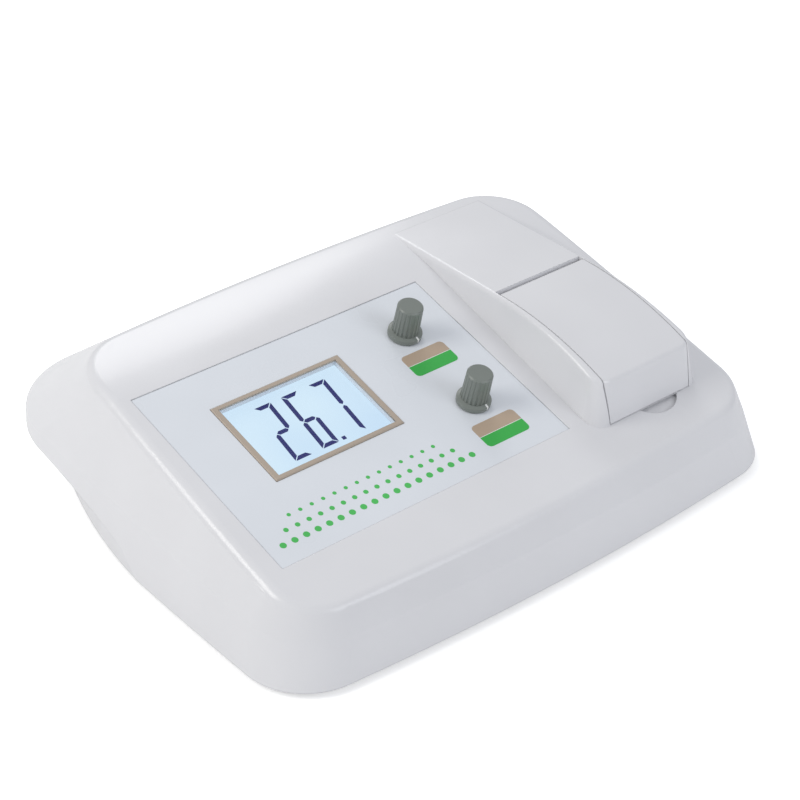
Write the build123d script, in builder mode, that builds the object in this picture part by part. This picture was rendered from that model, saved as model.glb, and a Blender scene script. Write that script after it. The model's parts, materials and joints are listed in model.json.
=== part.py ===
"""Bench turbidity meter: moulded housing, sloped panel, knobs, hinged sample lid and works."""
from build123d import *
import os
from math import cos, radians, sin, sqrt, tan

os.makedirs("parts", exist_ok=True)

# Overall form, in millimetres: X to the right, Y to the rear, Z up from the table
body_width = 276.0
rear_taper = 9.0
body_depth = 236.0
foot_lift = 3.4
wall = 2.6
panel_wall = 3.2
edge_bow = 7.0
base_front_radius = 30.0
base_rear_radius = 42.0
fit_gap = 0.3

# The soft crease between the lower wall and the apron above it
crease_front_height = 22.0
crease_tilt = 4.0
crease_front_inset = 5.0
crease_side_inset = 5.4
crease_rear_inset = 2.0
crease_bow = 6.0
crease_radius = 4.0

# The sloped plateau that carries the panel, rolling over to a level strip at the rear
panel_tilt = 14.5
panel_centre_height = 61.9
plateau_front_inset = 11.2
plateau_side_inset = 11.8
plateau_rear_inset = 56.5
plateau_front_radius = 22.0
plateau_rear_radius = 26.0
plateau_bow = 4.0
strip_height = 73.8
bend_start_y = 27.0
shoulder_radius = 5.0

# Raised sample block on the right
block_left = 45.4
block_right = 110.6
block_front = 86.4
block_draft = 8.0
block_foot_height = 36.0
block_corner_radius = 8.0
block_ridge_radius = 2.4
block_rear_y = 57.0
crown_radius = 172.0

# Sample lid, its hinge and the chamber under it
lid_wall = 3.0
lid_gap = 0.4
lid_foot_gap = 0.6
rim_width = 2.3
barrel_radius = 3.2
barrel_gap = 0.9
hinge_y = -16.8
pin_radius = 1.25
pin_play = 0.05
seal_thickness = 0.6
seal_gap = 0.2
seal_width = 2.6
mouth_width = 42.0
mouth_front_y = -77.0
mouth_rear_y = -24.0
notch_radius = 13.0
notch_depth = 1.6
notch_reach = 5.5
notch_shift = 6.0
pin_seat = 1.4
seal_front = 1.9
block_core_wall = 8.0

# Hand-holds: the lower wall is undercut from mid-side round each rear corner
hold_start_x = -139.0
hold_front_y = -20.0
hold_middle_x = -126.5
hold_middle_y = 55.0
hold_rear_x = -97.0
hold_overrun = 4.0
hold_rise_y = 36.0
hold_rise_height = 20.0
hold_peak_y = 95.0
hold_peak_height = 28.5

# Panel recess, display and knobs, in the panel's own plane
recess_width = 153.3
recess_height = 106.2
recess_x = -39.0
recess_v = -27.8
recess_depth = 0.8
overlay_thickness = 0.5
bezel_width = 66.9
bezel_height = 46.9
bezel_thickness = 1.1
bezel_chamfer = 0.4
window_width = 61.7
window_height = 42.6
window_thickness = 1.6
display_x = -56.5
display_v = -18.8
glass_margin = 3.0
glass_thickness = 2.8
backlight_thickness = 3.6
board_thickness = 1.6
display_board_margin = 12.0
knob_x = 11.3
zero_v = 0.4
correction_v = -47.1
shaft_radius = 3.0
shaft_play = 0.05
bushing_radius = 3.45
knob_skirt_radius = 7.7
knob_body_radius = 5.8
knob_height = 16.8
knob_skirt_height = 2.6
knob_lift = 0.6
flute_count = 20
flute_radius = 0.6
flute_depth = 0.3
knob_edge = 0.7
knob_hollow_radius = 5.9
knob_hollow_height = 2.2
pot_body_radius = 8.2
pot_body_length = 9.0
pot_floor = 1.2
bushing_rise = 2.0
washer_radius = 5.6
washer_thickness = 0.5
nut_radius = 5.2
nut_thickness = 1.6
shaft_rise = 12.0
set_screw_radius = 1.2
set_screw_height = 9.0
set_screw_sink = 1.0

# Sample cell well and optics
cell_x = 78.0
cell_y = -50.0
well_radius = 12.75
well_floor = 10.0
deck_height = 47.0
deck_thickness = 2.0
tub_wall = 1.8
holder_size = 40.0
holder_screw_reach = 15.0
holder_corner_radius = 2.0
deck_hole_play = 0.45
beam_height = 28.0
port_radius = 3.0
lamp_radius = 2.5
lamp_flange_radius = 2.9
lamp_block_width = 16.0
lamp_block_length = 15.0
lens_thickness = 1.8
lens_curve = 4.0
detector_flange_radius = 4.2
detector_flange = 1.0
detector_length = 5.0
detector_board_size = 22.0
detector_pad_reach = 8.0

# Base plate, screws and feet
plate_thickness = 2.6
screw_radius = 1.45
screw_head_radius = 2.8
screw_head_height = 1.8
boss_radius = 4.0
foot_radius = 8.0
foot_seat = 1.2
board_height = 8.0
case_screw_length = 11.0
foot_boss_rise = 3.0
foot_chamfer = 0.8
screw_play = 0.2
small_screw_radius = 1.05
small_head_radius = 2.1
small_boss_radius = 3.0

# Rear connectors on a flat pocket in the rear wall
pocket_left = -86.0
pocket_right = 18.0
pocket_y = 112.6
pocket_bottom = 7.0
pocket_top = 33.0
pad_margin = 4.0
socket_x = -60.0
switch_x = -20.0
fuse_x = 5.0
rear_line = 20.0
connector_gap = 0.2
socket_width = 27.0
socket_height = 19.4
socket_depth = 20.0
socket_screw_reach = 20.0
socket_flange_width = 50.0
socket_flange_height = 22.0
socket_flange = 2.5
socket_wall = 1.7
socket_pocket_depth = 16.0
pin_width = 2.0
pin_height = 4.0
pin_pitch = 7.0
pin_sink = 4.0
pin_tail = 14.0
socket_corner_radius = 3.0
earth_rise = 3.0
switch_width = 13.0
switch_height = 19.2
switch_depth = 16.0
switch_rim = 1.2
switch_flange = 1.8
rocker_radius = 7.9
rocker_width = 10.0
rocker_face = 3.0
rocker_back = 3.0
rocker_lean = 10.0
rocker_pivot_drop = 2.7
rocker_gap = 0.3
rocker_side_gap = 0.2
trunnion_radius = 1.2
trunnion_length = 0.9
trunnion_play = 0.05
fuse_radius = 6.0
fuse_flange_radius = 7.5
fuse_flange = 2.0
fuse_cap_radius = 5.2
fuse_cap_rise = 2.8
fuse_depth = 22.0
fuse_slot = 1.4

# Main board on the base plate
main_left = -85.0
main_right = 25.0
main_front = -55.0
main_rear = 15.0
main_margin = 5.0

# Parts on the main board: three chips, a plug and two pairs of round capacitors
converter_inset = 22.0
converter_length = 36.0
converter_width = 13.0
converter_height = 3.2
reference_reach = 32.0
reference_length = 12.0
reference_width = 10.0
reference_height = 2.4
plug_inset = 24.0
plug_reach = 30.0
plug_length = 18.0
plug_width = 8.0
plug_height = 9.0
amplifier_inset = 14.0
amplifier_reach = 6.0
amplifier_length = 20.0
amplifier_height = 2.6
large_inset = 20.0
large_pitch = 14.0
large_radius = 5.5
large_height = 13.0
small_reach = 26.0
small_pitch = 9.0
small_inset = 18.0
small_radius = 3.2
small_height = 8.0

# Transformer on the base plate
transformer_x = -62.0
transformer_y = 62.0
core_width = 40.0
core_stack = 20.0
core_height = 34.0
core_leg = 6.0
core_foot = 10.0
core_foot_thickness = 1.5
coil_overhang = 6.0

rear_width = body_width - rear_taper
front_y = -body_depth / 2
rear_y = body_depth / 2
plateau_rear_y = rear_y - plateau_rear_inset
slope = tan(radians(panel_tilt))
plate_top = foot_lift + plate_thickness
block_centre = (block_left + block_right) / 2
ridge_drift = (strip_height - block_foot_height) * tan(radians(block_draft))
lid_left = block_left + ridge_drift + rim_width
lid_right = block_right - ridge_drift - rim_width
hinge_z = strip_height - barrel_radius
ledge_drop = lid_wall + seal_gap + seal_thickness
panel = Plane(
    origin=(0, 0, panel_centre_height),
    x_dir=(1, 0, 0),
    z_dir=(0, -sin(radians(panel_tilt)), cos(radians(panel_tilt))),
)
panel_floor = panel.offset(-recess_depth)
knob_points = {"zero": zero_v, "correction": correction_v}
glass_width = window_width + 2 * glass_margin
glass_height = window_height + 2 * glass_margin
board_width = glass_width + display_board_margin
board_length = glass_height + display_board_margin
glass_drop = panel_wall + fit_gap
backlight_drop = glass_drop + glass_thickness
board_top_drop = backlight_drop + backlight_thickness
display_screw_grid = (board_width - 2 * small_boss_radius, board_length - 2 * small_boss_radius)
overlay_top = panel_floor.offset(overlay_thickness)
knob_foot = overlay_top.offset(knob_lift)
mouth_left = cell_x - mouth_width / 2
mouth_right = cell_x + mouth_width / 2
deck_under = deck_height - deck_thickness
holder_left = cell_x - holder_size / 2
holder_right = cell_x + holder_size / 2
holder_rear = cell_y + holder_size / 2
hinge_line = [(hinge_y, hinge_z)]
beam_line = [(cell_y, beam_height)]
socket_screws = [(socket_x - socket_screw_reach, rear_line), (socket_x + socket_screw_reach, rear_line)]
rocker_y = pocket_y + switch_flange - rocker_pivot_drop
main_board_points = [
    (main_left + main_margin, main_front + main_margin),
    (main_right - main_margin, main_front + main_margin),
    (main_left + main_margin, main_rear - main_margin),
    (main_right - main_margin, main_rear - main_margin),
]
transformer_reach = (core_width + core_foot) / 2
transformer_points = [
    (transformer_x - transformer_reach, transformer_y),
    (transformer_x + transformer_reach, transformer_y),
]
holder_points = [
    (cell_x - holder_screw_reach, cell_y - holder_screw_reach),
    (cell_x + holder_screw_reach, cell_y - holder_screw_reach),
    (cell_x - holder_screw_reach, cell_y + holder_screw_reach),
    (cell_x + holder_screw_reach, cell_y + holder_screw_reach),
]
case_screw_points = [(-108, -88), (108, -92), (-96, 96), (96, 96), (12, -104), (38, 98)]
foot_points = [(-92, -88), (88, -92), (-74, 96), (74, 96)]


def panel_height(y):
    """Height of the sloped panel plane at a distance along Y."""
    return panel_centre_height + slope * y


def crease_plane():
    """Plane of the crease line, rising gently to the rear."""
    tilt = radians(crease_tilt)
    height = crease_front_height - tan(tilt) * (front_y + crease_front_inset)
    return Plane(origin=(0, 0, height), x_dir=(1, 0, 0), z_dir=(0, -sin(tilt), cos(tilt)))


def outline(plane, front, rear, front_half, rear_half, front_radius, rear_radius, bow):
    """Rounded four-sided outline with bowed sides."""
    side = (front_half + rear_half) / 2 + bow / 3
    middle = (front + rear) / 2
    front_left = (-front_half, front + bow)
    front_right = (front_half, front + bow)
    rear_left = (-rear_half, rear - bow)
    rear_right = (rear_half, rear - bow)
    with BuildSketch(plane) as sketch:
        with BuildLine():
            ThreePointArc(front_left, (0, front), front_right)
            ThreePointArc(front_right, (side, middle), rear_right)
            ThreePointArc(rear_right, (0, rear), rear_left)
            ThreePointArc(rear_left, (-side, middle), front_left)
        make_face()
        fillet(sketch.vertices().group_by(Axis.Y)[0], front_radius)
        fillet(sketch.vertices().group_by(Axis.Y)[-1], rear_radius)
    return sketch.sketch


def base_outline(inset, height):
    """The housing's lower edge, moved inwards by inset."""
    return outline(
        Plane.XY.offset(height),
        front_y + inset,
        rear_y - inset,
        body_width / 2 - inset,
        rear_width / 2 - inset,
        base_front_radius - inset,
        base_rear_radius - inset,
        edge_bow,
    )


def crease_outline(inset):
    """The crease between wall and apron, in its own tilted plane."""
    along = cos(radians(crease_tilt))
    half = body_width / 2 - crease_side_inset - inset
    return outline(
        crease_plane(),
        (front_y + crease_front_inset + inset) / along,
        (rear_y - crease_rear_inset - inset) / along,
        half,
        half,
        base_front_radius - inset,
        base_rear_radius - inset,
        crease_bow,
    )


def plateau_outline(inset):
    """The plateau's edge, drawn in the panel plane."""
    along = cos(radians(panel_tilt))
    return outline(
        panel,
        (front_y + plateau_front_inset + inset) / along,
        (plateau_rear_y - inset) / along,
        body_width / 2 - plateau_side_inset - inset,
        rear_width / 2 - plateau_side_inset - inset,
        plateau_front_radius - inset,
        plateau_rear_radius - inset,
        plateau_bow,
    )


def air_above_plateau(drop):
    """Side profile of everything above the plateau, lowered by drop."""
    bend_z = panel_height(bend_start_y)
    bend_radius = (strip_height - bend_z) / (1 - cos(radians(panel_tilt)))
    level_y = bend_start_y + bend_radius * sin(radians(panel_tilt))
    low = (front_y - wall, panel_height(front_y - wall) - drop)
    bend = (bend_start_y, bend_z - drop)
    level = (level_y, strip_height - drop)
    with BuildSketch(Plane.YZ) as sketch:
        with BuildLine():
            Line(low, bend)
            TangentArc(bend, level, tangent=(1, slope))
            Polyline(level, (rear_y, level[1]), (rear_y, 2 * strip_height), (low[0], 2 * strip_height), low)
        make_face()
    return sketch.sketch


def raw_body(inset, floor):
    """Lower wall and apron before the plateau is cut to shape."""
    with BuildPart() as raw:
        loft([base_outline(inset, floor), crease_outline(inset)], ruled=True)
        loft([crease_outline(inset), plateau_outline(inset)], ruled=True)
    return raw.part


def block_side_profile(drop):
    """Side view of the sample block: level to the hinge, then a crown down to the front."""
    top = strip_height - drop
    radius = crown_radius - drop
    centre_z = top - radius
    end_y = -block_front - wall
    mid_y = (hinge_y + end_y) / 2
    end_z = centre_z + sqrt(radius**2 - (end_y - hinge_y) ** 2)
    mid_z = centre_z + sqrt(radius**2 - (mid_y - hinge_y) ** 2)
    with BuildSketch(Plane.YZ) as sketch:
        with BuildLine():
            Line((rear_y, top), (hinge_y, top))
            ThreePointArc((hinge_y, top), (mid_y, mid_z), (end_y, end_z))
            Polyline((end_y, end_z), (end_y, 0), (rear_y, 0), (rear_y, top))
        make_face()
    return sketch.sketch


def is_ridge(edge):
    """True on the block's outer top edges, false on the seam across its top."""
    middle = edge.center()
    along = edge.tangent_at(0.5)
    seam = abs(along.X) > 0.99 and middle.Y > 1 - block_front
    return middle.Z > crease_front_height + block_foot_height - 10 and abs(along.Z) < 0.7 and not seam


def block_form(inset, drop, ridge_radius):
    """The raised block as a drafted prism under its crown, with rounded corners."""
    length = block_front + rear_y
    with BuildPart() as block:
        with BuildSketch(Plane.XY.offset(block_foot_height)):
            with Locations((block_centre, -block_front + length / 2)):
                Rectangle(block_right - block_left - 2 * inset, length - 2 * inset)
        extrude(amount=strip_height - block_foot_height + block_ridge_radius, taper=block_draft)
        extrude(block_side_profile(drop), amount=body_width, both=True, mode=Mode.INTERSECT)
        uprights = block.edges().filter_by(lambda edge: abs(edge.tangent_at(0.5).Z) > 0.9)
        fillet(uprights.filter_by(lambda edge: edge.center().Y < 0), block_corner_radius - inset)
        if ridge_radius > 0:
            sides = block.edges().filter_by(lambda edge: is_ridge(edge))
            fillet(sides, ridge_radius)
    return block.part


def hand_hold(grow):
    """The undercut on the left, deepest round the rear corner, grown by a wall for its inner skin."""
    outside = -body_width
    with BuildPart() as scoop:
        with BuildSketch(Plane.XY):
            with BuildLine():
                start = (hold_start_x, hold_front_y - grow)
                end = (hold_rear_x + grow, rear_y + hold_overrun)
                ThreePointArc(start, (hold_middle_x + grow, hold_middle_y), end)
                Polyline(end, (outside, end[1]), (outside, start[1]), start)
            make_face()
        extrude(amount=strip_height)
        with BuildSketch(Plane.YZ):
            with BuildLine():
                low = (hold_front_y - grow, foot_lift + grow)
                peak = (hold_peak_y, hold_peak_height + grow)
                ThreePointArc(low, (hold_rise_y, hold_rise_height + grow), peak)
                Polyline(peak, (2 * body_depth, peak[1]), (2 * body_depth, 0), (low[0], 0), low)
            make_face()
        extrude(amount=-body_width, mode=Mode.INTERSECT)
    return scoop.part


def lid_region(grow, foot):
    """The space the lid fills: its width, its hinge end, and its lower edge above the plateau."""
    left = lid_left - grow
    right = lid_right + grow
    low = block_foot_height
    with BuildPart() as region:
        with BuildSketch(Plane.XZ.offset(-hinge_y)) as front:
            Polygon(
                (left, 2 * strip_height),
                (left, hinge_z - 12),
                (left + 3, low - 8),
                (right - 1, low - 8),
                (right, hinge_z - 12),
                (right, 2 * strip_height),
                align=None,
            )
        extrude(amount=block_front + hinge_y + 12)
        with BuildSketch(Plane.YZ) as under:
            Polygon(
                (0, panel_height(0) + foot),
                (-2 * block_front, panel_height(-2 * block_front) + foot),
                (-2 * block_front, -strip_height),
                (0, -strip_height),
                align=None,
            )
        extrude(amount=body_width, both=True, mode=Mode.SUBTRACT)
    return region.part


def rod_x(points, radius, left, right):
    """Round rods along X through the given (Y, Z) points."""
    with BuildPart() as rods:
        with BuildSketch(Plane.YZ.offset(left)):
            with Locations(*points):
                Circle(radius)
        extrude(amount=right - left)
    return rods.part


def rod_y(points, radius, front, rear):
    """Round rods along Y through the given (X, Z) points."""
    with BuildPart() as rods:
        with BuildSketch(Plane.XZ.offset(-rear)):
            with Locations(*points):
                Circle(radius)
        extrude(amount=rear - front)
    return rods.part


def around(x, y, width, depth):
    """The four side limits of a box centred on a point."""
    return (x - width / 2, x + width / 2, y - depth / 2, y + depth / 2)


def slab(x0, x1, y0, y1, z0, z1):
    """A plain block between two corners, used for cuts and plates."""
    with BuildPart() as block:
        with BuildSketch(Plane.XY.offset(z0)):
            with Locations(((x0 + x1) / 2, (y0 + y1) / 2)):
                Rectangle(x1 - x0, y1 - y0)
        extrude(amount=z1 - z0)
    return block.part


def posts(points, radius, z0, z1):
    """Round posts or holes standing at the given points."""
    with BuildPart() as group:
        with BuildSketch(Plane.XY.offset(z0)):
            with Locations(*points):
                Circle(radius)
        extrude(amount=z1 - z0)
    return group.part


def screws(points, seat, length, facing_up):
    """Pan-head screws as one group; seat is the level the heads rest on."""
    with BuildPart() as group:
        if facing_up:
            add(posts(points, screw_head_radius, seat, seat + screw_head_height))
            add(posts(points, screw_radius, seat - length, seat))
        else:
            add(posts(points, screw_head_radius, seat - screw_head_height, seat))
            add(posts(points, screw_radius, seat, seat + length))
    return group


def disc(plane, v, radius, thickness):
    """A round layer on a knob's axis, above the given panel-parallel plane."""
    with BuildPart() as layer:
        with BuildSketch(plane):
            with Locations((knob_x, v)):
                Circle(radius)
        extrude(amount=thickness)
    return layer.part


def display_layer(drop, width, height, thickness):
    """One flat layer of the display stack, its top face at drop below the panel."""
    with BuildPart() as layer:
        with BuildSketch(panel.offset(-drop)):
            with Locations((display_x, display_v)):
                Rectangle(width, height)
        extrude(amount=-thickness)
    return layer.part


def display_posts(drop, radius, thickness):
    """Four round posts at the display board's screws, downwards from drop below the panel."""
    with BuildPart() as group:
        with BuildSketch(panel.offset(-drop)):
            with Locations((display_x, display_v)):
                with GridLocations(*display_screw_grid, 2, 2):
                    Circle(radius)
        extrude(amount=-thickness)
    return group.part


def save(piece, label):
    """Name a finished piece and write its file."""
    piece.part.label = label
    export_step(piece.part, f"parts/{label}.step")


# Outer and inner forms of the housing
with BuildPart() as outer_shell:
    add(raw_body(0, foot_lift))
    extrude(air_above_plateau(0), amount=body_width, both=True, mode=Mode.SUBTRACT)
    tops = outer_shell.faces().filter_by(lambda face: face.normal_at(face.center()).Z > 0.9)
    top_edges = tops.edges()
    seams = [edge for edge in top_edges if len([other for other in top_edges if other.is_same(edge)]) > 1]
    fillet([edge for edge in top_edges if not any(edge.is_same(seam) for seam in seams)], shoulder_radius)
    level = crease_plane()
    on_crease = outer_shell.edges().filter_by(lambda edge: abs(level.to_local_coords(edge.center()).Z) < 0.3)
    fillet(on_crease, crease_radius)

block_outer = block_form(0, 0, block_ridge_radius)
with BuildPart() as raised_block:
    add(block_outer)
    add(slab(-body_width, body_width, 2 * front_y, block_rear_y, 0, 2 * strip_height), mode=Mode.INTERSECT)

with BuildPart() as cavity:
    add(raw_body(wall, foot_lift))
    extrude(air_above_plateau(panel_wall), amount=body_width, both=True, mode=Mode.SUBTRACT)
    add(hand_hold(wall), mode=Mode.SUBTRACT)
    mirror(hand_hold(wall), about=Plane.YZ, mode=Mode.SUBTRACT)
    pad_sides = (pocket_left - pad_margin, pocket_right + pad_margin, pocket_y - wall, rear_y)
    add(slab(*pad_sides, -1, pocket_top + pad_margin), mode=Mode.SUBTRACT)

with BuildPart() as bosses:
    add(posts(case_screw_points, boss_radius, plate_top, strip_height))
    add(display_posts(recess_depth, small_boss_radius, board_top_drop - recess_depth))
    add(outer_shell.part, mode=Mode.INTERSECT)

with BuildPart() as lid_pocket:
    add(block_form(-1, -1, 0))
    add(lid_region(lid_gap, lid_foot_gap - lid_gap), mode=Mode.INTERSECT)
    add(block_form(ledge_drop, ledge_drop, 0), mode=Mode.SUBTRACT)

notch_v = (notch_radius - block_front - notch_reach) / cos(radians(panel_tilt))
with BuildPart() as finger_notch:
    with BuildSketch(panel):
        with Locations((cell_x + notch_shift, notch_v)):
            Circle(notch_radius)
    extrude(amount=-notch_depth)

with BuildPart() as panel_openings:
    with BuildSketch(panel):
        with Locations((recess_x, recess_v)):
            Rectangle(recess_width, recess_height)
    extrude(amount=-recess_depth)
    with BuildSketch(panel):
        with Locations((display_x, display_v)):
            Rectangle(window_width, window_height)
        with Locations((knob_x, zero_v), (knob_x, correction_v)):
            Circle(bushing_radius + fit_gap)
    extrude(amount=-2 * panel_wall)

groove = barrel_radius + barrel_gap
groove_sides = (lid_left - lid_gap, lid_right + lid_gap, hinge_y - groove, hinge_y + groove)
mouth_sides = (mouth_left, mouth_right, mouth_front_y, mouth_rear_y)
core_rear_y = plateau_rear_y - boss_radius
core_x = (block_left + block_core_wall, block_right - block_core_wall)
cut_depth = (pocket_y - 2 * wall, rear_y)
with BuildPart() as upper_housing:
    add(outer_shell.part)
    add(raised_block.part)
    add(cavity.part, mode=Mode.SUBTRACT)
    add(hand_hold(0), mode=Mode.SUBTRACT)
    mirror(hand_hold(0), about=Plane.YZ, mode=Mode.SUBTRACT)
    add(bosses.part)
    pilot_top = foot_lift + case_screw_length + 1
    add(posts(case_screw_points, screw_radius, foot_lift, pilot_top), mode=Mode.SUBTRACT)
    add(display_posts(panel_wall + 1, small_screw_radius, board_top_drop), mode=Mode.SUBTRACT)
    add(panel_openings.part, mode=Mode.SUBTRACT)
    add(lid_pocket.part, mode=Mode.SUBTRACT)
    add(rod_x(hinge_line, groove, lid_left - lid_gap, lid_right + lid_gap), mode=Mode.SUBTRACT)
    add(slab(*groove_sides, hinge_z, strip_height + 1), mode=Mode.SUBTRACT)
    add(rod_x(hinge_line, pin_radius, lid_left - pin_seat, lid_right + pin_seat), mode=Mode.SUBTRACT)
    add(slab(*mouth_sides, beam_height, strip_height + 1), mode=Mode.SUBTRACT)
    core_sides = (*core_x, hinge_y + 2 * groove, core_rear_y)
    add(slab(*core_sides, deck_height, strip_height - panel_wall), mode=Mode.SUBTRACT)
    add(finger_notch.part, mode=Mode.SUBTRACT)
    add(slab(pocket_left, pocket_right, pocket_y, rear_y + 1, pocket_bottom, pocket_top), mode=Mode.SUBTRACT)
    rear_holes = [(socket_x, socket_width, socket_height), (switch_x, switch_width, switch_height)]
    for centre, width, height in rear_holes:
        hole = (centre - width / 2 - connector_gap, centre + width / 2 + connector_gap)
        levels = (rear_line - height / 2 - connector_gap, rear_line + height / 2 + connector_gap)
        add(slab(*hole, *cut_depth, *levels), mode=Mode.SUBTRACT)
    add(rod_y([(fuse_x, rear_line)], fuse_radius + connector_gap, *cut_depth), mode=Mode.SUBTRACT)
    add(rod_y(socket_screws, screw_radius, *cut_depth), mode=Mode.SUBTRACT)
save(upper_housing, "upper_housing")

with BuildPart() as base_plate:
    add(raw_body(wall + fit_gap, foot_lift))
    add(slab(-body_width, body_width, 2 * front_y, 2 * rear_y, plate_top, 2 * strip_height), mode=Mode.SUBTRACT)
    add(hand_hold(wall + fit_gap), mode=Mode.SUBTRACT)
    mirror(hand_hold(wall + fit_gap), about=Plane.YZ, mode=Mode.SUBTRACT)
    plate_notch = (pad_sides[0] - fit_gap, pad_sides[1] + fit_gap, pad_sides[2] - fit_gap, rear_y)
    add(slab(*plate_notch, 0, pocket_top), mode=Mode.SUBTRACT)
    add(posts(main_board_points, boss_radius, plate_top, plate_top + board_height))
    add(posts(foot_points, boss_radius, plate_top, plate_top + foot_boss_rise))
    add(posts(case_screw_points, screw_radius + screw_play, foot_lift, plate_top), mode=Mode.SUBTRACT)
    inner_holes = main_board_points + transformer_points + holder_points + foot_points
    add(posts(inner_holes, screw_radius, foot_lift, plate_top + board_height), mode=Mode.SUBTRACT)
save(base_plate, "base_plate")

with BuildPart() as rubber_feet:
    add(posts(foot_points, foot_radius, 0, foot_lift))
    chamfer(rubber_feet.edges().group_by(Axis.Z)[0], foot_chamfer)
    add(posts(foot_points, screw_head_radius + fit_gap, 0, foot_lift - foot_seat), mode=Mode.SUBTRACT)
    add(posts(foot_points, screw_radius, 0, foot_lift), mode=Mode.SUBTRACT)
save(rubber_feet, "rubber_feet")

foot_screw_length = foot_seat + plate_thickness + foot_boss_rise - 1
save(screws(case_screw_points, foot_lift, case_screw_length, False), "case_screws")
save(screws(foot_points, foot_lift - foot_seat, foot_screw_length, False), "foot_screws")

# Panel overlay and display
with BuildPart() as front_overlay:
    with BuildSketch(panel_floor):
        with Locations((recess_x, recess_v)):
            Rectangle(recess_width - fit_gap, recess_height - fit_gap)
        with Locations((display_x, display_v)):
            Rectangle(bezel_width + fit_gap, bezel_height + fit_gap, mode=Mode.SUBTRACT)
        with Locations((knob_x, zero_v), (knob_x, correction_v)):
            Circle(bushing_radius + fit_gap, mode=Mode.SUBTRACT)
    extrude(amount=overlay_thickness)
save(front_overlay, "front_overlay")

with BuildPart() as display_bezel:
    with BuildSketch(panel_floor):
        with Locations((display_x, display_v)):
            Rectangle(bezel_width, bezel_height)
            Rectangle(window_width, window_height, mode=Mode.SUBTRACT)
    extrude(amount=bezel_thickness)
    bezel_top = display_bezel.faces().sort_by(lambda face: panel.to_local_coords(face.center()).Z)[-1]
    chamfer(bezel_top.outer_wire().edges(), bezel_chamfer)
save(display_bezel, "display_bezel")

window_drop = recess_depth + bezel_chamfer - bezel_thickness
with BuildPart() as display_window:
    add(display_layer(window_drop, window_width, window_height, window_thickness))
save(display_window, "display_window")

with BuildPart() as lcd_glass:
    add(display_layer(glass_drop, glass_width, glass_height, glass_thickness))
save(lcd_glass, "lcd_glass")

with BuildPart() as backlight:
    add(display_layer(backlight_drop, glass_width, glass_height, backlight_thickness))
save(backlight, "backlight")

with BuildPart() as display_board:
    add(display_layer(board_top_drop, board_width, board_length, board_thickness))
    add(display_posts(board_top_drop, small_screw_radius, board_thickness), mode=Mode.SUBTRACT)
save(display_board, "display_board")

with BuildPart() as display_screws:
    add(display_posts(board_top_drop + board_thickness, small_head_radius, screw_head_height - 0.4))
    add(display_posts(panel_wall + 2, small_screw_radius, board_top_drop + board_thickness - panel_wall - 2))
save(display_screws, "display_screws")

# The two knobs with their pots
pot_top = panel.offset(-panel_wall)
with BuildPart() as pot_washers:
    for v in knob_points.values():
        add(disc(overlay_top, v, washer_radius, washer_thickness))
        add(disc(overlay_top, v, bushing_radius, washer_thickness), mode=Mode.SUBTRACT)
save(pot_washers, "pot_washers")

with BuildPart() as pot_nuts:
    with BuildSketch(overlay_top.offset(washer_thickness)):
        with Locations((knob_x, zero_v), (knob_x, correction_v)):
            RegularPolygon(nut_radius, 6)
            Circle(bushing_radius, mode=Mode.SUBTRACT)
    extrude(amount=nut_thickness)
save(pot_nuts, "pot_nuts")

for name, v in knob_points.items():
    with BuildPart() as pot:
        add(disc(pot_top, v, pot_body_radius, -pot_body_length))
        add(disc(pot_top, v, bushing_radius, panel_wall + bushing_rise))
        bore_floor = pot_top.offset(pot_floor - pot_body_length)
        bore_length = pot_body_length + 2 * panel_wall
        add(disc(bore_floor, v, shaft_radius + shaft_play, bore_length), mode=Mode.SUBTRACT)
    save(pot, f"{name}_pot")

    shaft_foot = bore_floor.offset(screw_play)
    with BuildPart() as shaft:
        inside_length = panel_wall + pot_body_length - pot_floor - screw_play
        add(disc(shaft_foot, v, shaft_radius, inside_length + shaft_rise))
    save(shaft, f"{name}_shaft")

    axis_plane = Plane(origin=knob_foot.from_local_coords((knob_x, v, 0)), x_dir=(1, 0, 0), z_dir=panel.z_dir)
    upright = Plane(origin=axis_plane.origin, x_dir=(1, 0, 0), z_dir=-axis_plane.y_dir)
    screw_origin = axis_plane.offset(set_screw_height).origin
    across = Plane(origin=screw_origin, x_dir=axis_plane.z_dir, z_dir=axis_plane.x_dir)
    with BuildPart() as knob:
        with BuildSketch(upright):
            with BuildLine():
                Polyline(
                    (0, 0),
                    (knob_skirt_radius, 0),
                    (knob_skirt_radius, knob_skirt_height - knob_edge),
                    (knob_body_radius + flute_depth, knob_skirt_height),
                    (knob_body_radius, knob_height - knob_edge),
                    (knob_body_radius - knob_edge, knob_height),
                    (0, knob_height),
                    (0, 0),
                )
            make_face()
        revolve(axis=Axis(axis_plane.origin, axis_plane.z_dir))
        with BuildSketch(axis_plane.offset(knob_skirt_height + flute_depth / 2)):
            with PolarLocations(knob_body_radius + flute_radius - flute_depth / 2, flute_count):
                Circle(flute_radius)
        extrude(amount=knob_height, mode=Mode.SUBTRACT)
        with BuildSketch(axis_plane):
            Circle(knob_hollow_radius)
        extrude(amount=knob_hollow_height, mode=Mode.SUBTRACT)
        with BuildSketch(axis_plane):
            Circle(shaft_radius)
        extrude(amount=shaft_rise, mode=Mode.SUBTRACT)
        with BuildSketch(across):
            Circle(set_screw_radius)
        extrude(amount=knob_skirt_radius, mode=Mode.SUBTRACT)
    save(knob, f"{name}_knob")

    with BuildPart() as set_screw:
        with BuildSketch(across):
            Circle(set_screw_radius)
        extrude(amount=knob_body_radius - set_screw_sink)
        add(disc(knob_foot, v, shaft_radius, knob_height), mode=Mode.SUBTRACT)
    save(set_screw, f"{name}_set_screw")

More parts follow.
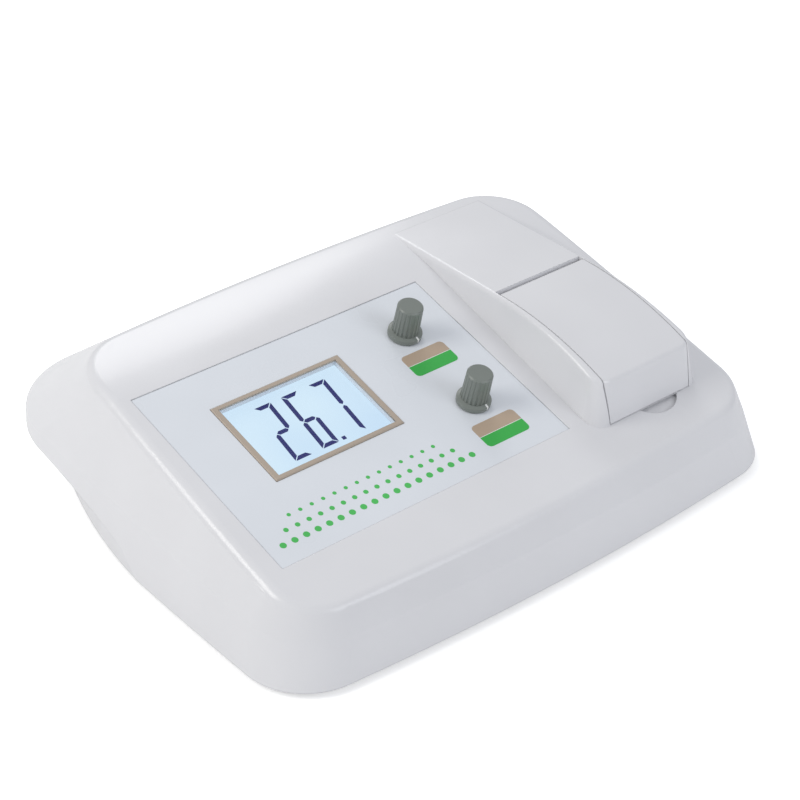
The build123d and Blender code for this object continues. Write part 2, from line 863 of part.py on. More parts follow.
# Main board and transformer
board_under = plate_top + board_height
board_face = board_under + board_thickness
with BuildPart() as main_board:
    add(slab(main_left, main_right, main_front, main_rear, board_under, board_face))
    add(posts(main_board_points, screw_radius, board_under, board_face), mode=Mode.SUBTRACT)
save(main_board, "main_board")
save(screws(main_board_points, board_face, board_thickness + board_height - 2, True), "main_board_screws")

main_middle = (main_left + main_right) / 2
with BuildPart() as main_board_parts:
    converter = around(main_middle, main_front + converter_inset, converter_length, converter_width)
    add(slab(*converter, board_face, board_face + converter_height))
    reference_x = main_middle - reference_reach
    reference = around(reference_x, main_front + plug_inset, reference_length, reference_width)
    add(slab(*reference, board_face, board_face + reference_height))
    plug = around(main_middle + plug_reach, main_front + plug_inset, plug_length, plug_width)
    add(slab(*plug, board_face, board_face + plug_height))
    amplifier_x = main_middle + amplifier_reach
    amplifier = around(amplifier_x, main_rear - amplifier_inset, amplifier_length, plug_width)
    add(slab(*amplifier, board_face, board_face + amplifier_height))
    large_x = main_left + large_inset
    large_points = [(large_x, main_rear - large_inset), (large_x + large_pitch, main_rear - large_inset)]
    add(posts(large_points, large_radius, board_face, board_face + large_height))
    small_x = main_right - small_reach
    small_points = [(small_x, main_rear - small_inset), (small_x + small_pitch, main_rear - small_inset)]
    add(posts(small_points, small_radius, board_face, board_face + small_height))
save(main_board_parts, "main_board_parts")

leg_left = transformer_x - core_leg
leg_right = transformer_x + core_leg
core_left = transformer_x - core_width / 2
core_right = transformer_x + core_width / 2
core_top = plate_top + core_height
transformer_seat = plate_top + core_foot_thickness
window_levels = (plate_top + core_leg, core_top - core_leg)
core_y = (transformer_y - core_stack / 2, transformer_y + core_stack / 2)
with BuildPart() as transformer_core:
    add(slab(core_left, core_right, *core_y, plate_top, core_top))
    add(slab(core_left + core_leg, leg_left, *core_y, *window_levels), mode=Mode.SUBTRACT)
    add(slab(leg_right, core_right - core_leg, *core_y, *window_levels), mode=Mode.SUBTRACT)
    add(slab(core_left - core_foot, core_right + core_foot, *core_y, plate_top, transformer_seat))
    add(posts(transformer_points, screw_radius, plate_top, plate_top + core_leg), mode=Mode.SUBTRACT)
save(transformer_core, "transformer_core")

with BuildPart() as transformer_coil:
    coil_y = (core_y[0] - coil_overhang, core_y[1] + coil_overhang)
    add(slab(core_left + core_leg, core_right - core_leg, *coil_y, *window_levels))
    add(slab(leg_left, leg_right, *core_y, *window_levels), mode=Mode.SUBTRACT)
save(transformer_coil, "transformer_coil")
transformer_reach_down = core_foot_thickness + plate_thickness
save(screws(transformer_points, transformer_seat, transformer_reach_down, True), "transformer_screws")

# Mains inlet, switch and fuse on the rear pocket
flange_rear = pocket_y + socket_flange
blade_points = [(socket_x - pin_pitch, rear_line - 1), (socket_x + pin_pitch, rear_line - 1)]
blade_points.append((socket_x, rear_line + earth_rise))


def rear_box(x, width, height, y0, y1, z=rear_line):
    """A box on the rear connectors' line."""
    return slab(x - width / 2, x + width / 2, y0, y1, z - height / 2, z + height / 2)


pin_ends = (flange_rear - socket_pocket_depth - pin_tail, flange_rear - pin_sink)
with BuildPart() as inlet_pins:
    for x, z in blade_points:
        add(rear_box(x, pin_width, pin_height, *pin_ends, z))
save(inlet_pins, "inlet_pins")

with BuildPart() as mains_inlet:
    add(rear_box(socket_x, socket_flange_width, socket_flange_height, pocket_y, flange_rear))
    fillet(mains_inlet.edges().filter_by(Axis.Y), socket_corner_radius)
    add(rear_box(socket_x, socket_width, socket_height, pocket_y - socket_depth, pocket_y))
    well_size = (socket_width - 2 * socket_wall, socket_height - 2 * socket_wall)
    add(rear_box(socket_x, *well_size, flange_rear - socket_pocket_depth, flange_rear), mode=Mode.SUBTRACT)
    add(rod_y(socket_screws, screw_radius, pocket_y, flange_rear), mode=Mode.SUBTRACT)
    add(inlet_pins.part, mode=Mode.SUBTRACT)
save(mains_inlet, "mains_inlet")

with BuildPart() as inlet_screws:
    add(rod_y(socket_screws, screw_head_radius, flange_rear, flange_rear + screw_head_height))
    add(rod_y(socket_screws, screw_radius, pocket_y - 2 * wall, flange_rear))
save(inlet_screws, "inlet_screws")

switch_face = pocket_y + switch_flange
with BuildPart() as power_switch:
    flange_size = (switch_width + 2 * switch_rim, switch_height + 2 * switch_rim)
    add(rear_box(switch_x, *flange_size, pocket_y, switch_face))
    add(rear_box(switch_x, switch_width, switch_height, pocket_y - switch_depth, pocket_y))
    opening = (rocker_width + 2 * rocker_side_gap, 2 * (rocker_radius + rocker_gap))
    add(rear_box(switch_x, *opening, rocker_y - rocker_radius + 1, switch_face), mode=Mode.SUBTRACT)
    trunnion_sides = (switch_x - switch_width / 2, switch_x + switch_width / 2)
    pivot = [(rocker_y, rear_line)]
    add(rod_x(pivot, trunnion_radius + trunnion_play, *trunnion_sides), mode=Mode.SUBTRACT)
save(power_switch, "power_switch")

rocker_rise = rocker_radius * tan(radians(rocker_lean))
with BuildPart() as power_rocker:
    with BuildSketch(Plane.YZ.offset(switch_x - rocker_width / 2)):
        with Locations((rocker_y, rear_line)):
            Circle(rocker_radius)
            Polygon(
                (-rocker_back, -rocker_radius),
                (rocker_face + rocker_rise, -rocker_radius),
                (rocker_face, 0),
                (rocker_face + rocker_rise, rocker_radius),
                (-rocker_back, rocker_radius),
                rotation=rocker_lean,
                align=None,
                mode=Mode.INTERSECT,
            )
    extrude(amount=rocker_width)
    reach = rocker_width / 2 + trunnion_length
    add(rod_x(pivot, trunnion_radius, switch_x - reach, switch_x + reach))
save(power_rocker, "power_rocker")

with BuildPart() as fuse_carrier:
    fuse_face = pocket_y + fuse_flange
    add(rod_y([(fuse_x, rear_line)], fuse_radius, pocket_y - fuse_depth, pocket_y))
    add(rod_y([(fuse_x, rear_line)], fuse_flange_radius, pocket_y, fuse_face))
    add(rod_y([(fuse_x, rear_line)], fuse_cap_radius, fuse_face, fuse_face + fuse_cap_rise))
    chamfer(fuse_carrier.edges().group_by(Axis.Y)[-1], fuse_slot / 2)
    slot_length = 2 * fuse_cap_radius + 1
    add(rear_box(fuse_x, slot_length, fuse_slot, fuse_face + 1, fuse_face + fuse_cap_rise), mode=Mode.SUBTRACT)
save(fuse_carrier, "fuse_carrier")

# Sample well, optics and chamber
pad_side = detector_pad_reach
with BuildPart() as cell_holder:
    add(slab(*around(cell_x, cell_y, holder_size, holder_size), plate_top, deck_under))
    fillet(cell_holder.edges().filter_by(Axis.Z), holder_corner_radius)
    rear_pads = [(cell_x - pad_side, beam_height - pad_side), (cell_x + pad_side, beam_height + pad_side)]
    side_pads = [(cell_y - pad_side, beam_height - pad_side), (cell_y + pad_side, beam_height + pad_side)]
    add(rod_y(rear_pads, small_head_radius, holder_rear - 1, holder_rear + detector_flange))
    add(rod_x(side_pads, small_head_radius, holder_right - 1, holder_right + detector_flange))
    add(posts([(cell_x, cell_y)], well_radius, well_floor, deck_under), mode=Mode.SUBTRACT)
    add(rod_x(beam_line, port_radius, holder_left, holder_right), mode=Mode.SUBTRACT)
    add(rod_y([(cell_x, beam_height)], port_radius, cell_y, holder_rear), mode=Mode.SUBTRACT)
    add(posts(holder_points, screw_radius, plate_top, well_floor), mode=Mode.SUBTRACT)
    add(posts(holder_points, screw_radius, deck_under - board_height, deck_under), mode=Mode.SUBTRACT)
save(cell_holder, "cell_holder")
save(screws(holder_points, foot_lift, well_floor - foot_lift - 1, False), "holder_screws")
save(screws(holder_points, deck_height, deck_thickness + board_height - 1, True), "chamber_screws")

lamp_left = holder_left - lamp_block_length
lamp_right = lamp_left + 2 * lamp_block_length / 3
with BuildPart() as lamp:
    add(rod_x(beam_line, lamp_flange_radius, lamp_left - detector_flange, lamp_left))
    add(rod_x(beam_line, lamp_radius, lamp_left, lamp_right))
    fillet(lamp.edges().group_by(Axis.X)[-1], lamp_radius - 0.1)
save(lamp, "lamp")

lens_left = lamp_right + 1
with BuildPart() as lamp_holder:
    sides = (cell_y - lamp_block_width / 2, cell_y + lamp_block_width / 2)
    levels = (beam_height - lamp_block_width / 2, beam_height + lamp_block_width / 2)
    add(slab(lamp_left, holder_left, *sides, *levels))
    add(rod_x(beam_line, lamp_radius, lamp_left, holder_left), mode=Mode.SUBTRACT)
    add(rod_x(beam_line, port_radius, lens_left, holder_left), mode=Mode.SUBTRACT)
save(lamp_holder, "lamp_holder")

with BuildPart() as lens:
    curve_centre = lens_left + lens_thickness - lens_curve
    rim_x = curve_centre + sqrt(lens_curve**2 - port_radius**2)
    half_x = curve_centre + sqrt(lens_curve**2 - (port_radius / 2) ** 2)
    with BuildSketch(Plane.XY.offset(beam_height)):
        with BuildLine():
            Polyline(
                (lens_left + lens_thickness, cell_y),
                (lens_left, cell_y),
                (lens_left, cell_y + port_radius),
                (rim_x, cell_y + port_radius),
            )
            ThreePointArc(
                (rim_x, cell_y + port_radius),
                (half_x, cell_y + port_radius / 2),
                (lens_left + lens_thickness, cell_y),
            )
        make_face()
    revolve(axis=Axis((0, cell_y, beam_height), (1, 0, 0)))
save(lens, "lens")

with BuildPart() as light_detectors:
    add(rod_x(beam_line, port_radius, holder_right - detector_length, holder_right))
    add(rod_x(beam_line, detector_flange_radius, holder_right, holder_right + detector_flange))
    add(rod_y([(cell_x, beam_height)], port_radius, holder_rear - detector_length, holder_rear))
    add(rod_y([(cell_x, beam_height)], detector_flange_radius, holder_rear, holder_rear + detector_flange))
save(light_detectors, "light_detectors")

board_half = detector_board_size / 2
with BuildPart() as detector_boards:
    rear_face = (holder_rear + detector_flange, holder_rear + detector_flange + board_thickness)
    side_face = (holder_right + detector_flange, holder_right + detector_flange + board_thickness)
    levels = (beam_height - board_half, beam_height + board_half)
    add(slab(cell_x - board_half, cell_x + board_half, *rear_face, *levels))
    add(slab(*side_face, cell_y - board_half, cell_y + board_half, *levels))
save(detector_boards, "detector_boards")

tub_sides = (mouth_left + fit_gap, mouth_right - fit_gap, mouth_front_y + fit_gap, mouth_rear_y - fit_gap)
with BuildPart() as sample_chamber:
    add(slab(*tub_sides, deck_under, strip_height))
    extrude(block_side_profile(ledge_drop), amount=body_width, both=True, mode=Mode.INTERSECT)
    inner = (tub_sides[0] + tub_wall, tub_sides[1] - tub_wall, tub_sides[2] + tub_wall, tub_sides[3] - tub_wall)
    add(slab(*inner, deck_height, strip_height), mode=Mode.SUBTRACT)
    add(posts([(cell_x, cell_y)], well_radius + deck_hole_play, deck_under, deck_height), mode=Mode.SUBTRACT)
    add(posts(holder_points, screw_radius, deck_under, deck_height), mode=Mode.SUBTRACT)
save(sample_chamber, "sample_chamber")

seal_y = (mouth_front_y - seal_front, mouth_rear_y + seal_width)
with BuildPart() as light_seal:
    add(slab(mouth_left - seal_width, mouth_right + seal_width, *seal_y, 0, strip_height))
    extrude(block_side_profile(ledge_drop - seal_thickness), amount=body_width, both=True, mode=Mode.INTERSECT)
    extrude(block_side_profile(ledge_drop), amount=body_width, both=True, mode=Mode.SUBTRACT)
    add(slab(*mouth_sides, 0, strip_height), mode=Mode.SUBTRACT)
save(light_seal, "light_seal")

# Hinged lid on its pin
with BuildPart() as hinge_pin:
    add(rod_x(hinge_line, pin_radius, lid_left - pin_seat, lid_right + pin_seat))
save(hinge_pin, "hinge_pin")

with BuildPart() as sample_lid:
    add(block_outer)
    add(lid_region(0, lid_foot_gap), mode=Mode.INTERSECT)
    add(block_form(lid_wall, lid_wall, 0), mode=Mode.SUBTRACT)
    add(rod_x(hinge_line, barrel_radius, lid_left, lid_right))
    add(rod_x(hinge_line, pin_radius + pin_play, lid_left, lid_right), mode=Mode.SUBTRACT)
save(sample_lid, "sample_lid")
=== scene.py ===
# %% [markdown]
# # A bench turbidity meter, dressed around its CAD frame
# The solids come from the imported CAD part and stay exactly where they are. This lesson gives each of them
# the finish of the real piece, and adds what is printed on it or shown by it: the display's figures, the
# rows of green dots, the two label plates and the white marks on the knobs.

# %% Tools and the frame
import bmesh
import bpy
import json
import math
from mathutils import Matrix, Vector


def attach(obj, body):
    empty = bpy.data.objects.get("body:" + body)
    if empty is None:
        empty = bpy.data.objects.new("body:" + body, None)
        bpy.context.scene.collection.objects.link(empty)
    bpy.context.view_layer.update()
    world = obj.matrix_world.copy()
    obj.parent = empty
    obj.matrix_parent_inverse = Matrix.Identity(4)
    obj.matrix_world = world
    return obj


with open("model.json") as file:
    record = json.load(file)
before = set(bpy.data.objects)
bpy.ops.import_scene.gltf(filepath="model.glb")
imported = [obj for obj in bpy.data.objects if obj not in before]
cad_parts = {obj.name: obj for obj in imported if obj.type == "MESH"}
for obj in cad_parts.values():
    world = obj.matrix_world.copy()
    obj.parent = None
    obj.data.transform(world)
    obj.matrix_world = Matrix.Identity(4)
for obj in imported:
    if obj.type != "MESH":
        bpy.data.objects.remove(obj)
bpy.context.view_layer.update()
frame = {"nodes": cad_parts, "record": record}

# %% [markdown]
# Real sizes are easiest to read in millimetres, and colours as sRGB hex values. Blender wants metres and
# linear colours, so these small helpers are the only places where either is converted.


# %% Units and colours
MM = 0.001


def linear(hex_code):
    """sRGB hex to the linear colour that a shader reads."""
    parts = [int(hex_code[i:i + 2], 16) / 255 for i in (0, 2, 4)]
    return [p / 12.92 if p <= 0.04045 else ((p + 0.055) / 1.055) ** 2.4 for p in parts] + [1.0]


def add_node(tree, kind, sockets=None, links=None, **settings):
    """Adds a node, sets its properties and sockets, and links sources into it."""
    node = tree.nodes.new(kind)
    for name, value in settings.items():
        setattr(node, name, value)
    for name, value in (sockets or {}).items():
        node.inputs[name].default_value = value
    for name, source in (links or {}).items():
        tree.links.new(source, node.inputs[name])
    return node


def empty_material(name):
    """A material with an empty node tree."""
    material = bpy.data.materials.new(name)
    material.use_nodes = True
    material.node_tree.nodes.clear()
    return material, material.node_tree


# %% [markdown]
# Most of the meter is moulded plastic. A moulding is even in colour, but never perfectly: the tool leaves a
# fine grain, the gloss wanders a little from place to place, and every edge has a small radius that catches
# the light. One function builds that: a fine noise for the grain's bump, a slow one for colour and gloss,
# and a bevel node that rounds the edges in the shading.


# %% A moulded finish
SLOW_PATCH_MM = 40
NOISE_LOW, NOISE_HIGH = 0.3, 0.7
GLOSS_SWING = 0.1
GRAIN_STRENGTH = 0.6


def moulded(name, colour, roughness, grain_mm=0.35, grain_depth_mm=0.004, edge_mm=0.35, ior=1.5, metallic=0.0,
            mottle=0.03, stretch=(1, 1, 1)):
    """Plastic, rubber or metal with a fine grain, soft edges and slightly uneven gloss."""
    material, tree = empty_material(name)
    place = add_node(tree, "ShaderNodeTexCoord")
    scaled = add_node(tree, "ShaderNodeMapping", {"Scale": stretch}, {"Vector": place.outputs["Object"]})
    grain = add_node(tree, "ShaderNodeTexNoise", {"Scale": 1 / (grain_mm * MM), "Detail": 3.0},
                     {"Vector": scaled.outputs["Vector"]})
    slow = add_node(tree, "ShaderNodeTexNoise", {"Scale": 1 / (SLOW_PATCH_MM * MM), "Detail": 2.0},
                    {"Vector": place.outputs["Object"]})
    tone = add_node(tree, "ShaderNodeMapRange",
                    {"From Min": NOISE_LOW, "From Max": NOISE_HIGH, "To Min": 1 - mottle, "To Max": 1.0},
                    {"Value": slow.outputs["Fac"]})
    tint = add_node(tree, "ShaderNodeVectorMath", {1: linear(colour)[:3]}, operation="MULTIPLY")
    tree.links.new(tone.outputs["Result"], tint.inputs[0])
    gloss = add_node(tree, "ShaderNodeMapRange",
                     {"From Min": NOISE_LOW, "From Max": NOISE_HIGH,
                      "To Min": roughness * (1 - GLOSS_SWING), "To Max": roughness * (1 + GLOSS_SWING)},
                     {"Value": slow.outputs["Fac"]})
    soft = add_node(tree, "ShaderNodeBevel", {"Radius": edge_mm * MM}, samples=4)
    bump = add_node(tree, "ShaderNodeBump", {"Strength": GRAIN_STRENGTH, "Distance": grain_depth_mm * MM},
                    {"Height": grain.outputs["Fac"], "Normal": soft.outputs["Normal"]})
    shader = add_node(tree, "ShaderNodeBsdfPrincipled", {"Metallic": metallic, "IOR": ior},
                      {"Base Color": tint.outputs["Vector"], "Roughness": gloss.outputs["Result"],
                       "Normal": bump.outputs["Normal"]})
    add_node(tree, "ShaderNodeOutputMaterial", None, {"Surface": shader.outputs["BSDF"]})
    return material


print("a moulded finish is ready")

# %% [markdown]
# ## The finishes, one for each material of the real meter
# The housing is glossy ABS: the light from a window draws long soft streaks along its shoulders, so its
# roughness is low, and its white is a cool light grey. The base plate is the same plastic with a coarser
# grain, and a darker grey that is painted shade from under the housing. Screws, shafts and cans are metals,
# and keep the default index of refraction.

# %% Plastics and rubber
finishes = {
    # Glossy white-grey ABS, moulded in a polished tool: soft streaks of light on the shoulders
    "housing_abs": moulded("ABS moulded, glossy", "e3e3e6", 0.22, edge_mm=0.5),
    # The same ABS from a spark-eroded tool: dull and evenly grained, in a darker grey that is painted shade
    "base_abs": moulded("ABS moulded, grained, painted shade", "c6c8ca", 0.5, grain_mm=0.8, grain_depth_mm=0.03),
    # Solid rubber: nearly black, dull, a little dusty
    "foot_rubber": moulded("Rubber moulded", "1d1d1e", 0.75, grain_mm=0.6, grain_depth_mm=0.02, mottle=0.2),
    # Polycarbonate film with a printed back: flat, satin, slightly bluer than the housing
    "overlay_film": moulded("Polycarbonate film, satin", "e2e6ec", 0.3, grain_mm=0.25, grain_depth_mm=0.003),
    # The display's frame: tan plastic with a satin face
    "bezel_plastic": moulded("ABS moulded, tan satin", "b3a596", 0.42),
    # Milky acrylic that spreads the backlight
    "diffuser": moulded("Acrylic, milky", "f2f4f5", 0.4),
    # Glass-fibre board under green lacquer
    "circuit_board": moulded("Glass-fibre board, green lacquer", "1c6137", 0.35, grain_mm=0.5),
    # Knobs of grey filled nylon: satin, so that the flutes show as soft lines
    "knob_plastic": moulded("Nylon moulded, grey satin", "7d837e", 0.36, grain_depth_mm=0.006, mottle=0.05,
                            edge_mm=0.25),
    # Dull black moulding used for connectors and the chamber, where stray light is unwanted
    "black_plastic": moulded("Polyamide moulded, black", "161617", 0.55, grain_mm=0.5, grain_depth_mm=0.012),
    "rocker_plastic": moulded("Polyamide moulded, polished black", "0f0f10", 0.22),
    # Winding tape round the coil, and varnished iron laminations beside it
    "coil_tape": moulded("Polyester tape, yellow", "c9a23a", 0.4),
    "core_steel": moulded("Silicon steel, varnished laminations", "3a3733", 0.45, grain_mm=0.5, metallic=0.6,
                          stretch=(0.05, 1, 0.05)),
    # Closed-cell foam ring that keeps light out of the chamber
    "seal_foam": moulded("Foam, closed cell black", "131313", 0.9, grain_mm=0.9, grain_depth_mm=0.08),
}
print("plastics and rubber:", len(finishes))

# %% [markdown]
# Metals take their colour from the reflection, so metallic is 1 and the base colour is the metal's own.
# Turned and ground pieces have fine marks round or along them, drawn here by stretching the grain.

# %% Metals
finishes.update({
    "zinc_steel": moulded("Steel, zinc plated", "bcbdb8", 0.34, grain_depth_mm=0.01, metallic=1.0),
    "pot_metal": moulded("Steel, stamped and tinned", "a5a49e", 0.42, metallic=1.0),
    "nickel": moulded("Brass, nickel plated", "c9c5ba", 0.2, metallic=1.0),
    "shaft_metal": moulded("Aluminium, turned", "c3c4c5", 0.3, metallic=1.0, stretch=(1, 1, 6)),
    "pin_brass": moulded("Brass, stamped", "c8b383", 0.28, metallic=1.0),
    "black_aluminium": moulded("Aluminium, black anodised", "1b1c1e", 0.5, metallic=0.7),
    "can_metal": moulded("Steel can, nickel plated", "b5b3ab", 0.3, metallic=1.0),
    "pin_steel": moulded("Steel, ground", "b9babb", 0.22, metallic=1.0, stretch=(1, 8, 8)),
})
print("with metals:", len(finishes))

# %% [markdown]
# Clear pieces: the display's window is a thin acrylic sheet, which bends the view so little that it can be
# a transparent shader with a Fresnel reflection on top. That keeps the figures behind it crisp. The lamp
# and lens are real glass bodies, and take a glass shader.


# %% Clear pieces
ACRYLIC_IOR = 1.49
LAMP_GLASS_IOR, LENS_GLASS_IOR = 1.47, 1.52


def clear_sheet(name, tint, roughness):
    """A thin clear sheet: what is behind shows straight through, with a reflection over it."""
    material, tree = empty_material(name)
    through = add_node(tree, "ShaderNodeBsdfTransparent", {"Color": linear(tint)})
    shine = add_node(tree, "ShaderNodeBsdfGlossy", {"Roughness": roughness})
    rim = add_node(tree, "ShaderNodeFresnel", {"IOR": ACRYLIC_IOR})
    # Only the outer face reflects: on the way out the sheet would otherwise act as a mirror
    facing = add_node(tree, "ShaderNodeNewGeometry")
    front = add_node(tree, "ShaderNodeMath", {0: 1.0}, {1: facing.outputs["Backfacing"]}, operation="SUBTRACT")
    amount = add_node(tree, "ShaderNodeMath", None, {0: rim.outputs["Fac"], 1: front.outputs["Value"]},
                      operation="MULTIPLY")
    both = add_node(tree, "ShaderNodeMixShader", None,
                    {0: amount.outputs["Value"], 1: through.outputs["BSDF"], 2: shine.outputs["BSDF"]})
    add_node(tree, "ShaderNodeOutputMaterial", None, {"Surface": both.outputs["Shader"]})
    return material


def solid_glass(name, tint, roughness, ior):
    """A glass body."""
    material, tree = empty_material(name)
    body = add_node(tree, "ShaderNodeBsdfPrincipled", {
        "Base Color": linear(tint), "Roughness": roughness, "IOR": ior, "Transmission Weight": 1.0})
    add_node(tree, "ShaderNodeOutputMaterial", None, {"Surface": body.outputs["BSDF"]})
    return material


finishes["clear_window"] = clear_sheet("Acrylic sheet, clear", "fbfdff", 0.05)
finishes["lamp_glass"] = solid_glass("Glass, lamp envelope", "f7f2e4", 0.05, LAMP_GLASS_IOR)
finishes["lens_glass"] = solid_glass("Glass, polished lens", "f4f9fa", 0.02, LENS_GLASS_IOR)
print("with clear pieces:", len(finishes))

# %% [markdown]
# ## The lit display cell
# A liquid-crystal cell in front of a backlight is the only part of the meter that glows. The light is a
# pale blue-white, a touch whiter at one corner, so the shader is an emission whose colour drifts across the
# cell. A strength near 1 shows the colour as written.

# %% Lit display cell
DRIFT_PATCH_MM = 55
lit_cell, tree = empty_material("Liquid-crystal cell, backlit")
place = add_node(tree, "ShaderNodeTexCoord")
drift = add_node(tree, "ShaderNodeTexNoise", {"Scale": 1 / (DRIFT_PATCH_MM * MM), "Detail": 1.0},
                 {"Vector": place.outputs["Object"]})
ramp = add_node(tree, "ShaderNodeValToRGB", None, {"Fac": drift.outputs["Fac"]})
ramp.color_ramp.elements[0].position = 0.35
ramp.color_ramp.elements[0].color = linear("cfe6f8")
ramp.color_ramp.elements[1].position = 0.65
ramp.color_ramp.elements[1].color = linear("dcf0fb")
glow = add_node(tree, "ShaderNodeBsdfPrincipled",
                {"Base Color": linear("202428"), "Roughness": 0.3, "Emission Strength": 0.97},
                {"Emission Color": ramp.outputs["Color"]})
add_node(tree, "ShaderNodeOutputMaterial", None, {"Surface": glow.outputs["BSDF"]})
finishes["lcd_cell"] = lit_cell
print("all finishes:", len(finishes))

# %% [markdown]
# The record already says which material slot each node takes, so dressing the frame is one loop.

# %% Dressing the frame
slots = {piece["node"]: piece["material_slot"] for piece in frame["record"]["subparts"]}
for node_name, solid in frame["nodes"].items():
    solid.data.materials.clear()
    solid.data.materials.append(finishes[slots[node_name]])
print("dressed:", len(frame["nodes"]), "nodes")

# %% [markdown]
# ## Working on the sloped panel
# Everything printed sits on the panel, which leans 14.5 degrees back. It is simplest to draw in the panel's
# own plane, u to the right and v up the slope, and let one function place the result in the room.

# %% The panel's own plane
PANEL_TILT = math.radians(14.5)
PANEL_HEIGHT_MM = 61.9
OVERLAY_LEVEL_MM = -0.3
CELL_LEVEL_MM = -3.5


def on_panel(u, v, lift):
    """A point at u, v on the panel, lifted off it, from millimetres to the room's metres."""
    across, up = math.cos(PANEL_TILT), math.sin(PANEL_TILT)
    return Vector((u, v * across - lift * up, PANEL_HEIGHT_MM + v * up + lift * across)) * MM


def printed(name, outlines, level, thickness, material, body="base"):
    """Thin ink or label shapes, each outline raised by its thickness from a level on the panel."""
    mesh = bpy.data.meshes.new(name)
    work = bmesh.new()
    for outline in outlines:
        low = [work.verts.new(on_panel(u, v, level)) for u, v in outline]
        high = [work.verts.new(on_panel(u, v, level + thickness)) for u, v in outline]
        work.faces.new(list(reversed(low)))
        work.faces.new(high)
        for i in range(len(low)):
            j = (i + 1) % len(low)
            work.faces.new((low[i], low[j], high[j], high[i]))
    work.to_mesh(mesh)
    work.free()
    piece = bpy.data.objects.new(name, mesh)
    bpy.context.scene.collection.objects.link(piece)
    mesh.materials.append(material)
    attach(piece, body)
    print(name, "shapes:", len(outlines), "faces:", len(mesh.polygons))
    return piece


# %% [markdown]
# Screen-printed ink is a thin opaque layer with its own soft sheen. A little mottle keeps it from looking
# like a sticker made of light.

# %% Inks
green_ink = moulded("Screen ink, green", "4cbf5c", 0.4, grain_mm=0.2, edge_mm=0.02, mottle=0.06)
label_green = moulded("Label film, green", "36b24a", 0.4, grain_mm=0.2, edge_mm=0.02, mottle=0.04)
label_tan = moulded("Label film, tan", "b9a590", 0.42, grain_mm=0.2, edge_mm=0.02, mottle=0.04)
white_paint = moulded("Enamel paint, white", "f1f2f0", 0.35, grain_mm=0.2, edge_mm=0.02)
figure_ink = moulded("Liquid-crystal figure, navy", "050a6c", 0.5, grain_mm=0.2, edge_mm=0.02)
print("inks ready")

# %% [markdown]
# ## Three rows of green dots
# Under the display run three rows of dots at one pitch. Each row upwards is shorter and its dots smaller,
# so the rows are written as a start, a count and a diameter.

# %% Green dots
DOT_PITCH = 5.8
INK = 0.03
DOT_SIDES = 32


def disc_outline(u, v, diameter):
    """A round outline."""
    turn = [2 * math.pi * i / DOT_SIDES for i in range(DOT_SIDES)]
    return [(u + diameter / 2 * math.cos(a), v + diameter / 2 * math.sin(a)) for a in turn]


dot_rows = [(-108.0, -71.1, 18, 2.96), (-102.2, -65.1, 16, 2.26), (-96.4, -59.1, 14, 1.8)]
dots = [disc_outline(u + DOT_PITCH * i, v, size) for u, v, count, size in dot_rows for i in range(count)]
printed("printed_dots", dots, OVERLAY_LEVEL_MM, INK, green_ink)

# %% [markdown]
# ## Label plates beside the knobs
# Each knob has a small plate in two colours, tan above and green below, with a hair of white between them
# and round outer corners. They are left bare. One function draws a half plate with two round corners.

# %% Label plates
LABEL_LEFT, LABEL_RIGHT = -0.1, 23.4
LABEL_CORNER = 2.2
LABEL_GAP = 0.35
BACK_INSET = 1
CORNER_STEPS = 6


def half_plate(low, high, round_top):
    """A rectangle whose top or bottom corners are round."""
    edge = high if round_top else low
    inner = edge - LABEL_CORNER if round_top else edge + LABEL_CORNER
    sign = 1 if round_top else -1
    right = []
    for i in range(CORNER_STEPS + 1):
        angle = math.pi / 2 * i / CORNER_STEPS
        right.append((LABEL_RIGHT - LABEL_CORNER + LABEL_CORNER * math.cos(angle),
                      inner + sign * LABEL_CORNER * math.sin(angle)))
    left = [(LABEL_LEFT + LABEL_RIGHT - u, v) for u, v in reversed(right)]
    far = low if round_top else high
    shape = [(LABEL_RIGHT, far)] + right + left + [(LABEL_LEFT, far)]
    return shape if round_top else list(reversed(shape))


plates = [(-23.7, -16.9, -10.5), (-71.9, -65.4, -58.5)]
tan_halves = [half_plate(split + LABEL_GAP / 2, top, True) for low, split, top in plates]
green_halves = [half_plate(low, split - LABEL_GAP / 2, False) for low, split, top in plates]
back_left, back_right = LABEL_LEFT + BACK_INSET, LABEL_RIGHT - BACK_INSET
white_backs = [[(back_left, split - BACK_INSET), (back_right, split - BACK_INSET),
                (back_right, split + BACK_INSET), (back_left, split + BACK_INSET)] for low, split, top in plates]
printed("label_white_lines", white_backs, OVERLAY_LEVEL_MM, INK, white_paint)
printed("label_tan_halves", tan_halves, OVERLAY_LEVEL_MM, 3 * INK, label_tan)
printed("label_green_halves", green_halves, OVERLAY_LEVEL_MM, 3 * INK, label_green)

# %% [markdown]
# ## The figures on the display
# A seven-segment figure is seven bars with mitred ends. The cell lies 3.5 mm below the panel, so seen from
# the front left the figures stand a little right of and above the place they cover on the panel. Each bar is
# given in a box as wide and high as the figure, then leaned like the real ones.

